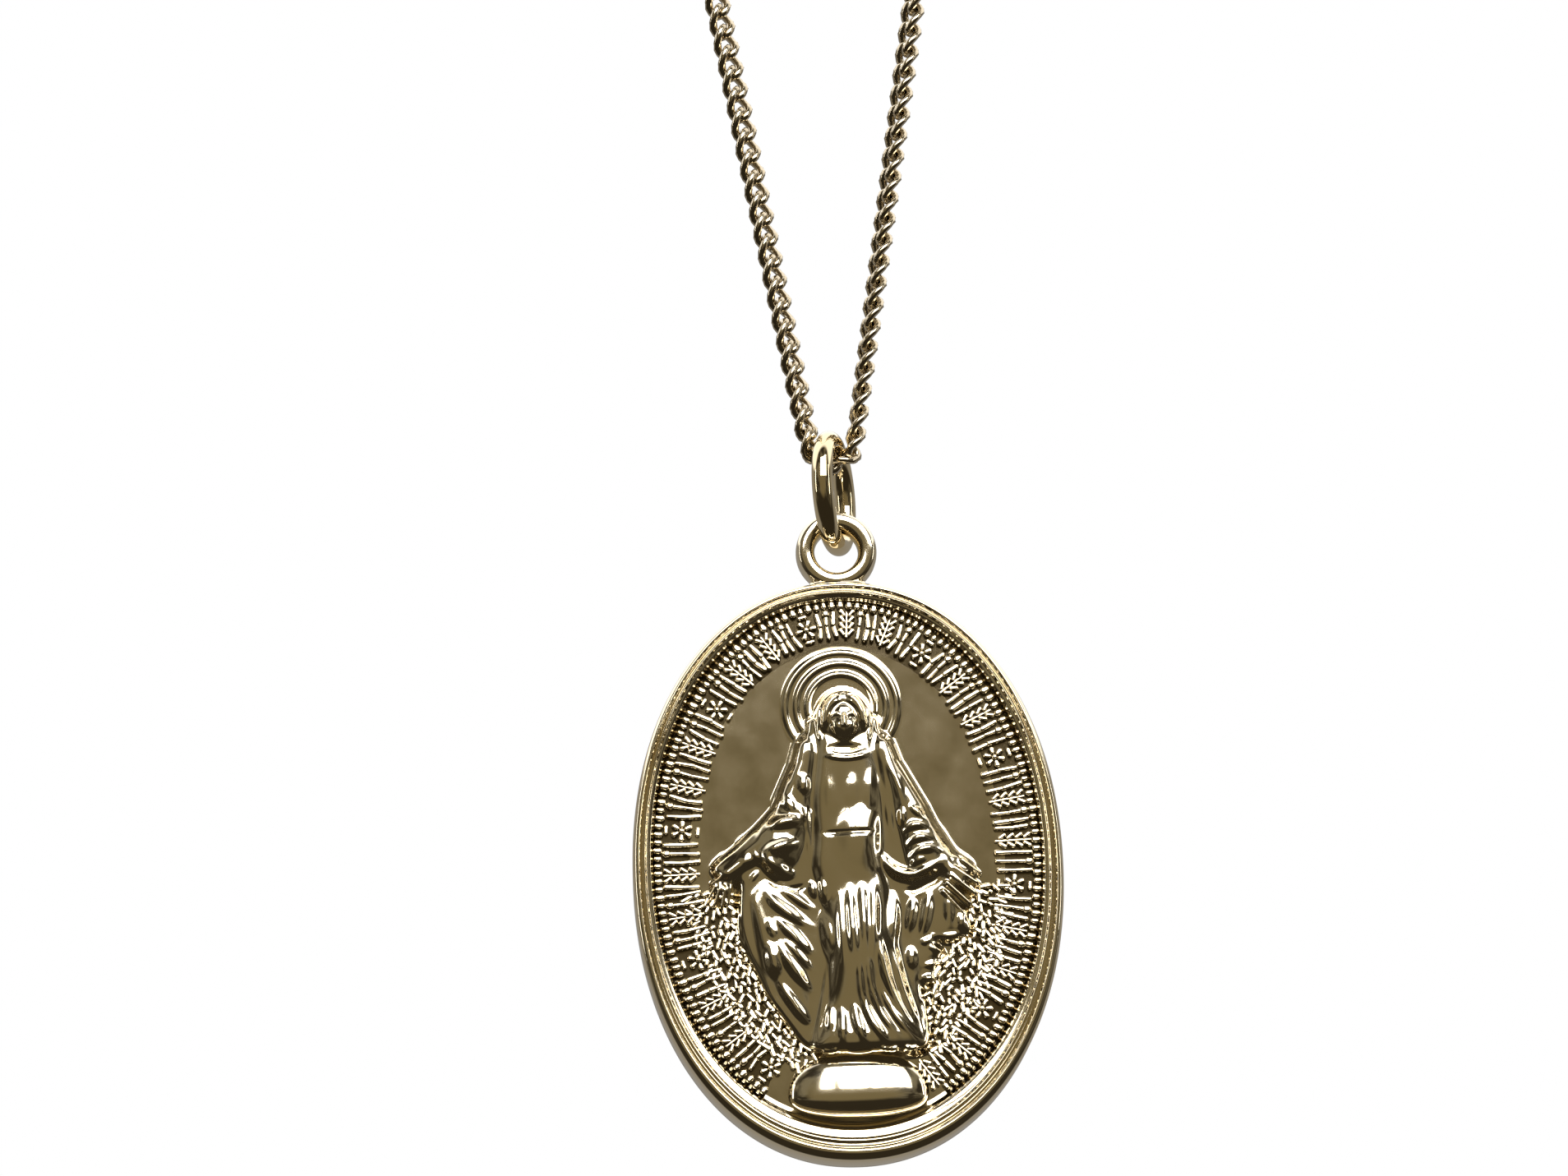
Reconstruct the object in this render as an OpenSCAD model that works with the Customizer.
// Oval devotional medal on a bail ring and a fine curb chain.
// The medal faces -Y, +X is to the viewer's right and +Z is up.
// The origin is the inside of the loop at the nape, where the chain hangs.

/* [Medal] */
// Width of the medal across its rim
medal_w = 18; // [17:0.5:19]
// Height of the medal without its eye
medal_h = 24.7; // [24:0.1:25.4]
// Thickness of the rim from front to back
rim_t = 2.1; // [2:0.05:2.3]
// Distance of the front field behind the rim's crest
field_drop = 0.75; // [0.6:0.05:0.8]
// Distance of the back field behind the rim's back
back_drop = 0.35; // [0.2:0.05:0.4]
// Scale of the figure's height above the field
relief_scale = 1; // [0.6:0.05:1.05]
// Height of the border band above the field
band_h = 0.13; // [0.05:0.01:0.2]

/* [Eye] */
// Outer diameter of the eye on top of the medal
eye_d = 3.4; // [3.2:0.05:3.6]
// Diameter of the hole through the eye
eye_hole_d = 1.9; // [1.8:0.05:2]
// Thickness of the eye from front to back
eye_t = 1.24; // [1:0.02:1.26]
// Height of the hole's centre above the top of the rim
eye_rise = 1.49; // [1.4:0.01:1.55]

/* [Bail] */
// Outer diameter of the bail ring
bail_d = 5.4; // [5.2:0.05:5.6]
// Diameter of the bail's wire
bail_wire_d = 0.9; // [0.8:0.02:0.9]
// Turn of the bail's plane about the vertical, far side to the viewer's right
bail_turn = 15; // [0:1:16]

/* [Chain] */
// Length of the whole loop, the clasp included
loop_len = 400; // [350:10:450]
// Thickness of the chain
chain_d = 0.94; // [0.86:0.02:0.96]
// Lean of each strand from the vertical
strand_lean = 9.3; // [8:0.1:12]
// Radius of the chain's centre line where it passes through the bail
bend_r = 0.98; // [0.97:0.01:1.05]

/* [Clasp] */
// Length of the clasp
clasp_len = 8; // [6:0.5:10]
// Diameter of the clasp
clasp_d = 2.4; // [2:0.1:2.6]

/* [Hidden] */

gold = "#b39a5e";
exact_fn = 64;

// Play left between parts that hang on each other
play = 0.09;

// Loop of the chain in its own plane, with u across and v up. Each half runs from the clasp over an
// arc of radius top_r, down a straight strand and round the bend inside the bail.
loop_half = loop_len / 2;
clasp_half = clasp_len / 2;
turn_top = (90 + strand_lean) * PI / 180;
turn_bend = (90 - strand_lean) * PI / 180;
strand_fixed = (clasp_half - bend_r * cos(strand_lean)) / sin(strand_lean);
strand_per_r = cos(strand_lean) / sin(strand_lean);
top_r = (loop_half - clasp_half - strand_fixed - bend_r * turn_bend) / (turn_top + strand_per_r);
strand_len = strand_fixed + strand_per_r * top_r;
nape_z = clasp_d / 2;
arc_z = nape_z - top_r;
bend_z = arc_z - top_r * sin(strand_lean) - strand_len * cos(strand_lean) + bend_r * sin(strand_lean);

// Stations of the hanging parts below the bend
bail_r = (bail_d - bail_wire_d) / 2;
bail_z = bend_z - bail_r;
link_z = bail_z - bail_r;
eye_z = link_z - (eye_hole_d - bail_wire_d) / 2 + play;
medal_z = eye_z - eye_rise - medal_h / 2;

// Chain rings along each stretch of a half
top_steps = 12;
strand_steps = 15;
bend_steps = 5;
chain_sides = 8;
chain_end_gap = 0.02;

// Both ovals are fuller than an ellipse, whose corner power would be 1
corner_power = 0.952;

// Oval of the front field, which sits a little above the middle of the outline
field_w = medal_w - 1.9;
field_h = medal_h - 2.5;
field_up = 0.42;

// Rim of the medal from its inner foot over the crest and round to the back.
// Columns: share of the way from the outline to the field, height towards the front
rim_half = rim_t / 2;
field_y = rim_half - field_drop;
back_y = back_drop - rim_half;
RIM = [
    [0.90, field_y + 0.27],
    [0.74, field_y + 0.32],
    [0.62, rim_half - 0.08],
    [0.45, rim_half],
    [0.31, rim_half - 0.13],
    [0.25, rim_half - 0.23],
    [0.12, rim_half - 0.39],
    [0.00, 0.00],
    [0.05, 0.34 - rim_half],
    [0.21, 0.06 - rim_half],
    [0.86, -rim_half],
    [1.00, back_y]
];
field_rings = 32;

// Outline of the mantle with both arms, from the left of the head and down its left side.
// Columns: across, up
MANTLE = [
    [-1.25, 6.60], [-1.60, 5.75], [-2.50, 4.40], [-2.60, 3.60], [-4.00, 2.05], [-5.35, 0.90],
    [-5.70, 0.40], [-4.70, -0.05], [-4.62, -0.50], [-4.78, -2.00], [-4.10, -4.00], [-3.00, -6.20],
    [-1.70, -7.70], [0.60, -7.80], [3.05, -7.70], [3.10, -6.40], [2.95, -4.60], [3.90, -3.70],
    [4.40, -2.60], [5.05, -2.50], [4.95, -1.50], [4.40, -0.40], [5.20, 0.30], [4.50, 1.00],
    [3.50, 2.55], [2.50, 4.30], [1.55, 5.85], [1.25, 6.60]
];
mantle_h = 0.42;
mantle_edge = 0.45;

// Outline of the tunic from collar to hem. Columns: across, up
TUNIC = [
    [-1.10, 5.10], [-1.50, 4.20], [-1.45, 1.80], [-1.55, 0.40], [-1.15, -1.20], [-0.95, -3.20],
    [-1.10, -5.00], [-1.70, -7.75], [0.60, -7.85], [2.95, -7.75], [2.30, -4.40], [1.70, -0.60],
    [1.40, 0.60], [1.45, 2.00], [1.60, 3.80], [1.20, 5.10]
];
tunic_h = 0.72;
tunic_edge = 0.95;

// Rounded masses that taper from one end to the other.
// Columns: across and up of each end, radius at each end, height at each end
LIMBS = [
    [[-2.05, 4.30], [-2.20, 3.00], 0.62, 0.90, 0.50, 0.66],
    [[-2.20, 2.60], [-2.95, 1.15], 0.95, 1.05, 0.78, 0.96],
    [[-3.20, 1.55], [-4.40, 0.75], 0.75, 0.55, 0.74, 0.60],
    [[-4.40, 0.70], [-5.10, 0.00], 0.50, 0.42, 0.60, 0.50],
    [[-4.92, -0.05], [-5.40, -0.95], 0.42, 0.42, 0.46, 0.40],
    [[2.20, 4.30], [2.70, 2.60], 0.55, 0.80, 0.50, 0.70],
    [[2.70, 2.60], [3.25, 0.85], 0.80, 1.00, 0.76, 1.00],
    [[3.20, 0.90], [4.00, 0.55], 0.85, 0.60, 0.92, 0.66],
    [[4.00, 0.40], [5.10, -0.80], 0.48, 0.52, 0.64, 0.56],
    [[3.80, -0.90], [4.10, -2.20], 0.80, 0.70, 0.50, 0.40],
    [[3.00, -3.00], [3.10, -4.40], 0.70, 0.45, 0.50, 0.42],
    [[-3.20, -1.00], [-2.80, -3.60], 1.30, 1.20, 0.66, 0.72],
    [[-2.80, -3.60], [-2.10, -6.20], 1.20, 0.70, 0.72, 0.52]
];

// Broad swells of the robe. Columns: centre, half width, half height, height
SWELLS = [
    [[0.30, -3.20], 2.10, 3.10, 0.34],
    [[0.40, -7.70], 2.80, 2.10, 0.30],
    [[0.50, 1.50], 1.30, 1.70, 0.22]
];

// Domes of the veiled head and the globe. Columns: centre, half width, half height, height
DOMES = [
    [[0.02, 6.42], 1.28, 1.40, 0.84],
    [[0.02, 6.22], 0.70, 0.92, 0.92],
    [[0.10, -9.08], 3.00, 1.40, 0.90]
];

// Ridges of the halo. Columns: radius, height
HALO = [[2.38, 0.20], [1.92, 0.22], [1.46, 0.24]];
halo_at = [-0.05, 6.98];
halo_half = 0.26;

// Raised folds of the robe. Columns: start, middle and end of the curve, half width, height
FOLDS = [
    [[-3.45, 1.90], [-2.80, 2.60], [-1.70, 2.50], 0.32, 0.24],
    [[-3.75, 1.00], [-2.90, 1.30], [-1.90, 1.35], 0.33, 0.26],
    [[-3.75, 1.10], [-3.10, -0.10], [-2.05, 0.25], 0.33, 0.30],
    [[-2.60, 3.60], [-2.45, 3.05], [-2.10, 2.60], 0.30, 0.20],
    [[-3.55, -0.40], [-2.90, -1.55], [-1.35, -2.30], 0.33, 0.32],
    [[-3.20, -0.10], [-2.20, -0.80], [-1.30, -1.50], 0.30, 0.22],
    [[-3.20, -1.65], [-2.40, -2.60], [-1.45, -3.50], 0.32, 0.32],
    [[-3.10, -2.60], [-2.60, -3.90], [-1.55, -5.15], 0.33, 0.34],
    [[-3.35, -2.60], [-3.32, -3.60], [-3.05, -4.50], 0.33, 0.26],
    [[-3.15, -4.20], [-2.60, -5.50], [-1.75, -6.60], 0.32, 0.30],
    [[-1.15, -1.30], [-0.95, -2.60], [-0.95, -3.80], 0.32, 0.26],
    [[-1.02, -3.40], [-1.10, -5.60], [-1.72, -7.60], 0.28, 0.18],
    [[0.02, -0.20], [-0.02, -2.00], [0.15, -3.80], 0.32, 0.32],
    [[0.75, -0.20], [0.75, -2.00], [0.75, -3.80], 0.34, 0.28],
    [[1.15, -2.00], [1.20, -4.80], [2.65, -7.10], 0.32, 0.34],
    [[1.85, -0.50], [1.80, -3.60], [2.60, -6.40], 0.32, 0.30],
    [[0.02, -5.30], [0.05, -6.60], [0.45, -7.60], 0.30, 0.28],
    [[0.65, -4.60], [0.80, -6.40], [1.85, -7.50], 0.33, 0.30],
    [[-0.60, -5.50], [-0.62, -6.60], [-0.60, -7.60], 0.32, 0.20],
    [[0.50, 4.60], [0.60, 3.20], [0.72, 1.95], 0.34, 0.16],
    [[1.60, 5.20], [2.05, 3.60], [2.30, 1.90], 0.33, 0.20],
    [[2.30, 1.65], [2.80, 2.20], [3.45, 1.85], 0.30, 0.24],
    [[2.40, 0.80], [3.00, 1.50], [3.90, 1.10], 0.32, 0.26],
    [[1.25, 1.20], [2.20, -0.90], [4.35, 0.60], 0.32, 0.38],
    [[2.68, -0.80], [2.62, -1.60], [2.30, -2.70], 0.32, 0.30],
    [[3.38, -0.40], [3.22, -1.60], [2.85, -2.95], 0.32, 0.30],
    [[3.10, -2.60], [3.80, -2.90], [5.05, -2.60], 0.30, 0.24],
    [[2.75, -4.35], [3.20, -4.70], [3.85, -4.25], 0.30, 0.22]
];
fold_steps = 4;

// Where each height up the robe's tables stands on the medal. Columns: on the medal, in the tables
STRETCH = [
    [-11, -11], [-7.8, -7.8], [-5.3, -5.0], [-1.45, -1.0], [1.38, 1.75],
    [4.55, 5.02], [5.45, 5.62], [5.9, 5.9], [11, 11]
];

// Border band and the rays below the hands, between two ovals inside the field's edge
band_out = 0.22;
band_in = 1.55;
band_edge = 0.18;
ray_top = -1.00;
ray_foot = -8.60;

function clamp01(t) = min(1, max(0, t));

// Place along a segment, from 0 to 1, that lies nearest to a point
function seg_t(p, a, b) = clamp01((p - a) * (b - a) / ((b - a) * (b - a)));

function seg_dist(p, a, b) = norm(p - a - seg_t(p, a, b) * (b - a));

function edge_dist(p, outline) =
    min([for (i = [0:len(outline) - 1]) seg_dist(p, outline[i], outline[(i + 1) % len(outline)])]);

function crosses(p, a, b) =
    (a[1] > p[1]) != (b[1] > p[1]) && p[0] < a[0] + (b[0] - a[0]) * (p[1] - a[1]) / (b[1] - a[1]);

function inside(p, outline) =
    len([for (i = [0:len(outline) - 1]) if (crosses(p, outline[i], outline[(i + 1) % len(outline)])) 1]) % 2 == 1;

// Rounded edge that reaches full height at a distance of 1
function round_edge(t) = t >= 1 ? 1 : sqrt(max(0, 1 - (1 - t) * (1 - t)));

function pad(p, outline, h, edge) = inside(p, outline) ? h * round_edge(edge_dist(p, outline) / edge) : 0;

function mix(a, b, t) = a + (b - a) * t;

function limb(p, row) =
    let (t = seg_t(p, row[0], row[1]), d = seg_dist(p, row[0], row[1]) / mix(row[2], row[3], t))
    d >= 1 ? 0 : mix(row[4], row[5], t) * sqrt(1 - d * d);

function dome(p, row) =
    let (d = norm([(p[0] - row[0][0]) / row[1], (p[1] - row[0][1]) / row[2]]))
    d >= 1 ? 0 : row[3] * sqrt(1 - d * d * d);

// Smooth ridge with a height of 1 on its line and 0 at its edge
function ridge(t) = abs(t) >= 1 ? 0 : (1 - t * t) * (1 - t * t);

function bezier(a, b, c, t) = (1 - t) * (1 - t) * a + 2 * t * (1 - t) * b + t * t * c;

function curve_dist(p, a, b, c) =
    min([for (i = [0:fold_steps - 1])
        seg_dist(p, bezier(a, b, c, i / fold_steps), bezier(a, b, c, (i + 1) / fold_steps))]);

// A fold is left out beyond the box around its three points
function near(p, row) =
    p[0] > min(row[0][0], row[1][0], row[2][0]) - row[3] && p[0] < max(row[0][0], row[1][0], row[2][0]) + row[3]
    && p[1] > min(row[0][1], row[1][1], row[2][1]) - row[3] && p[1] < max(row[0][1], row[1][1], row[2][1]) + row[3];

function fold(p, row) = near(p, row) ? row[4] * ridge(curve_dist(p, row[0], row[1], row[2]) / row[3]) : 0;

function total(list) = len(list) == 0 ? 0 : list * [for (v = list) 1];

function halo(p) = max([for (row = HALO) row[1] * ridge((norm(p - halo_at) - row[0]) / halo_half)]);

// Distance inside an oval that is inset from the field's edge, roughly in millimetres
function oval_depth(p, inset) =
    let (a = field_w / 2 - inset, b = field_h / 2 - inset)
    (1 - norm([p[0] / a, (p[1] - field_up) / b])) * min(a, b);

function band(p) =
    let (d_out = oval_depth(p, band_out), d_in = -oval_depth(p, band_in))
    p[1] < ray_foot && abs(p[0]) < 4 ? 0 : band_h * clamp01(min(d_out, d_in) / band_edge);

function rays(p) =
    p[1] > ray_top || p[1] < ray_foot ? 0 : band_h * clamp01(oval_depth(p, band_in) / band_edge + 1);

// Broad bump with a height of 1 at its centre
function swell(p, row) =
    row[3] * ridge(norm([(p[0] - row[0][0]) / row[1], (p[1] - row[0][1]) / row[2]]));

function cloth(p) = max(
    pad(p, MANTLE, mantle_h, mantle_edge),
    pad(p, TUNIC, tunic_h, tunic_edge),
    max([for (row = LIMBS) limb(p, row)])
);

function robe(p) =
    let (base = cloth(p))
    base <= 0 ? 0 : base + clamp01(base / 0.3)
        * (total([for (row = FOLDS) fold(p, row)]) + total([for (row = SWELLS) swell(p, row)]));

function relief(p) =
    relief_scale * max(
        max(halo(p), robe([p[0], lookup(p[1], STRETCH)])),
        max([for (row = DOMES) dome(p, row)]),
        max(band(p), rays(p))
    );

function corner(t) = sign(t) * pow(abs(t), corner_power);

function oval_point(turn, w, h) = [w / 2 * corner(cos(turn)), h / 2 * corner(sin(turn))];

// Point between the medal's outline, share 0, and the field's edge, share 1. Turn 0 is at the right
function rim_point(turn, share) =
    mix(oval_point(turn, medal_w, medal_h), oval_point(turn, field_w, field_h) + [0, field_up], share);

// Oval disc with its front relief as one closed shape. Ring k of the field holds 6 k points, in six
// sectors, so that its triangles keep one size, and every ring of the rim holds as many as the last.
module disc() {
    rim_points = 6 * field_rings;
    rim_rows = len(RIM);
    first_rim = 1 + 3 * field_rings * (field_rings - 1);
    field = [
        for (k = [0:field_rings])
            for (i = [0:max(0, 6 * k - 1)])
                let (p = [0, field_up] + (k == 0 ? [0, 0] : oval_point(60 * i / k, field_w, field_h) * k / field_rings))
                [p[0], -field_y - relief(p), p[1]]
    ];
    rim = [
        for (row = RIM)
            for (i = [0:rim_points - 1])
                let (p = rim_point(360 * i / rim_points, row[0]))
                [p[0], -row[1], p[1]]
    ];
    back = [[0, -back_y, field_up]];
    function ring_start(k) = k == 0 ? 0 : 1 + 3 * k * (k - 1);
    function spot(k, sector, step) = k == 0 ? 0 : ring_start(k) + (sector * k + step) % (6 * k);
    field_faces = [
        for (k = [0:field_rings - 1])
            for (sector = [0:5])
                for (step = [0:k])
                    each concat(
                        [[spot(k, sector, step), spot(k + 1, sector, step + 1), spot(k + 1, sector, step)]],
                        step < k
                            ? [[spot(k, sector, step), spot(k, sector, step + 1), spot(k + 1, sector, step + 1)]]
                            : []
                    )
    ];
    rim_faces = [
        for (r = [0:rim_rows - 1])
            for (i = [0:rim_points - 1])
                let (
                    j = (i + 1) % rim_points,
                    low = first_rim + r * rim_points,
                    high = low + rim_points
                )
                each [[low + i, low + j, high + i], [low + j, high + j, high + i]]
    ];
    last = len(field) + len(rim) - rim_points;
    back_faces = [
        for (i = [0:rim_points - 1])
            [last + i, last + (i + 1) % rim_points, len(field) + len(rim)]
    ];
    polyhedron(points = concat(field, rim, back), faces = concat(field_faces, rim_faces, back_faces));
}

// Round eye with a straight bore and bevelled edges
module eye() {
    bevel = 0.3;
    inner = eye_hole_d / 2;
    outer = eye_d / 2;
    half = eye_t / 2;
    flat = half - bevel;
    slope = bevel * 0.3;
    rotate([90, 0, 0])
        rotate_extrude($fn = exact_fn)
            polygon([
                [inner, -flat], [inner, flat],
                [inner + slope, half - slope], [inner + bevel, half],
                [outer - bevel, half], [outer - slope, half - slope],
                [outer, flat], [outer, -flat],
                [outer - slope, slope - half], [outer - bevel, -half],
                [inner + bevel, -half], [inner + slope, slope - half]
            ]);
}

// Short neck that is soldered between the eye and the rim
module neck() {
    neck_w = 2.4;
    neck_t = eye_t - 0.12;
    neck_top = -eye_hole_d / 2 - 0.12;
    neck_h = eye_rise + neck_top + 0.55;
    translate([-neck_w / 2, -neck_t / 2, neck_top - neck_h])
        cube([neck_w, neck_t, neck_h]);
}

module medal() {
    color(gold) {
        translate([0, 0, medal_z])
            disc();
        translate([0, 0, eye_z]) {
            eye();
            neck();
        }
    }
}

module bail() {
    color(gold)
        translate([0, 0, bail_z])
            rotate([0, 0, -bail_turn])
                rotate([0, 90, 0])
                    rotate_extrude($fn = exact_fn)
                        translate([bail_r, 0])
                            circle(d = bail_wire_d, $fn = exact_fn);
}

// Right half of the loop's centre line. Each station is its point and the direction across the chain
function half_loop() = concat(
    [for (i = [0:top_steps])
        let (a = 90 - i * (90 + strand_lean) / top_steps)
        [[clasp_half + chain_end_gap * (i == 0 ? 1 : 0) + top_r * cos(a), arc_z + top_r * sin(a)], [cos(a), sin(a)]]],
    [for (i = [1:strand_steps])
        let (n = [cos(strand_lean), -sin(strand_lean)], t = i / strand_steps)
        [[clasp_half, arc_z] + top_r * n - t * strand_len * [sin(strand_lean), cos(strand_lean)], n]],
    [for (i = [1:bend_steps])
        let (a = -strand_lean - i * (90 - strand_lean) / bend_steps)
        [[bend_r * cos(a), bend_z + bend_r * sin(a)], [cos(a), sin(a)]]]
);

function mirror_half(stations) = [
    for (i = [len(stations) - 2:-1:0])
        [[-stations[i][0][0], stations[i][0][1]], [-stations[i][1][0], stations[i][1][1]]]
];

module chain() {
    right = half_loop();
    stations = concat(right, mirror_half(right));
    last = len(stations) - 1;
    points = [
        for (s = stations)
            for (k = [0:chain_sides - 1])
                let (
                    a = 360 * (k + 0.5) / chain_sides,
                    across = chain_d / 2 * cos(a),
                    p = s[0] + across * s[1]
                )
                [p[0], chain_d / 2 * sin(a), p[1]]
    ];
    sides = [
        for (i = [0:last - 1])
            for (k = [0:chain_sides - 1])
                let (a = i * chain_sides + k, b = i * chain_sides + (k + 1) % chain_sides)
                each [[a, b, a + chain_sides], [b, b + chain_sides, a + chain_sides]]
    ];
    start = [for (k = [chain_sides - 1:-1:0]) k];
    end = [for (k = [0:chain_sides - 1]) last * chain_sides + k];
    color(gold)
        polyhedron(points = points, faces = concat(sides, [start, end]));
}

// Plain barrel with a narrow collar at each end, where the chain ends
module clasp() {
    collar_d = 1.3;
    collar_len = 0.8;
    shoulder = 0.5;
    body = clasp_half - collar_len;
    color(gold)
        translate([0, 0, nape_z])
            rotate([0, 90, 0])
                rotate_extrude($fn = exact_fn)
                    polygon([
                        [0, -clasp_half], [collar_d / 2, -clasp_half], [collar_d / 2, -body],
                        [clasp_d / 2 - 0.2, shoulder / 2 - body], [clasp_d / 2, shoulder - body],
                        [clasp_d / 2, body - shoulder], [clasp_d / 2 - 0.2, body - shoulder / 2],
                        [collar_d / 2, body], [collar_d / 2, clasp_half], [0, clasp_half]
                    ]);
}

medal();
bail();
chain();
clasp();
